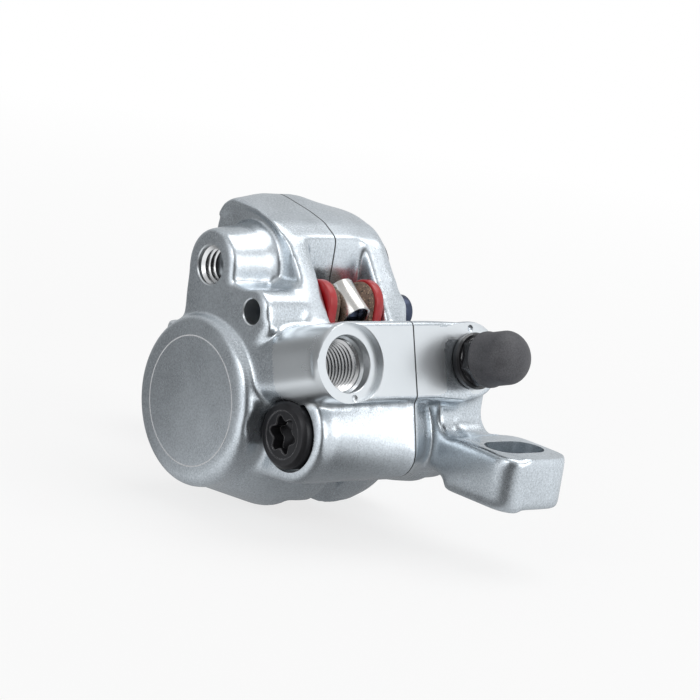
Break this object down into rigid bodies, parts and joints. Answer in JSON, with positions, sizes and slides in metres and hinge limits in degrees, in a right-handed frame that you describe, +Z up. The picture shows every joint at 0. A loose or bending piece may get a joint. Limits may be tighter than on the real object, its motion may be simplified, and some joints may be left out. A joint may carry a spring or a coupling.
{
  "type": "bicycle disc brake caliper",
  "caption": "Hydraulic disc brake caliper: bolted halves, opposed pistons, pads hung on a pin, a hose port, a capped bleed nipple and slotted mounting ears.",
  "frame": {"origin": "midpoint between the two mounting slots, in the plane of the ears' seats", "axes": "+X along the line of the two slots towards the hose and bleed ports, +Y along the piston axis from the half with the hose port to the half with the ears, +Z up along the mounting bolts, away from the seats"},
  "size_m": [0.088, 0.0405, 0.0471],
  "materials": {
    "cast_body": "satin silver-grey coated casting",
    "piston_metal": "turned, plain",
    "insulator": "matt dark moulding",
    "seal_rubber": "matt black",
    "plate_paint": "red paint on steel",
    "friction": "brown speckled friction compound",
    "spring_steel": "bright spring sheet",
    "pin_steel": "blued steel",
    "bolt_steel": "black coated steel",
    "nipple_steel": "glossy black coated steel",
    "cap_rubber": "matt dark grey rubber"
  },
  "bodies": {
    "caliper": {"near_body": "cast_body", "far_body": "cast_body", "near_piston_seal": "seal_rubber", "far_piston_seal": "seal_rubber", "crossover_seal": "seal_rubber", "pad_spring": "spring_steel", "pad_pin": "pin_steel", "upper_body_bolt": "bolt_steel", "lower_body_bolt": "bolt_steel"},
    "near_piston": {"near_piston": "piston_metal", "near_insulator": "insulator"},
    "far_piston": {"far_piston": "piston_metal", "far_insulator": "insulator"},
    "near_pad": {"near_back_plate": "plate_paint", "near_friction_pad": "friction"},
    "far_pad": {"far_back_plate": "plate_paint", "far_friction_pad": "friction"},
    "bleed_nipple": {"bleed_nipple": "nipple_steel"},
    "bleed_cap": {"bleed_cap": "cap_rubber"}
  },
  "joints": [
    {"name": "near_piston_slide", "type": "slide", "parent": "caliper", "child": "near_piston", "axis": [0, 1, 0], "range_m": [0, 0.0013], "deforming": ["pad_spring"]},
    {"name": "far_piston_slide", "type": "slide", "parent": "caliper", "child": "far_piston", "axis": [0, -1, 0], "range_m": [0, 0.0013]},
    {"name": "near_pad_slide", "type": "slide", "parent": "caliper", "child": "near_pad", "axis": [0, 1, 0], "range_m": [0, 0.0013]},
    {"name": "far_pad_slide", "type": "slide", "parent": "caliper", "child": "far_pad", "axis": [0, -1, 0], "range_m": [0, 0.0013]},
    {"name": "bleed_nipple_turn", "type": "hinge", "parent": "caliper", "child": "bleed_nipple", "pos_m": [0.0272, -0.0021, 0.0192], "axis": [0.9472, 0, 0.3206], "range_deg": [0, 180]},
    {"name": "bleed_cap_slide", "type": "slide", "parent": "bleed_nipple", "child": "bleed_cap", "axis": [0.9472, 0, 0.3206], "range_m": [0, 0.012]}
  ],
  "couplings": [
    {"joint": "far_piston_slide", "follows": "near_piston_slide", "ratio": 1},
    {"joint": "near_pad_slide", "follows": "near_piston_slide", "ratio": 1},
    {"joint": "far_pad_slide", "follows": "near_piston_slide", "ratio": 1}
  ]
}
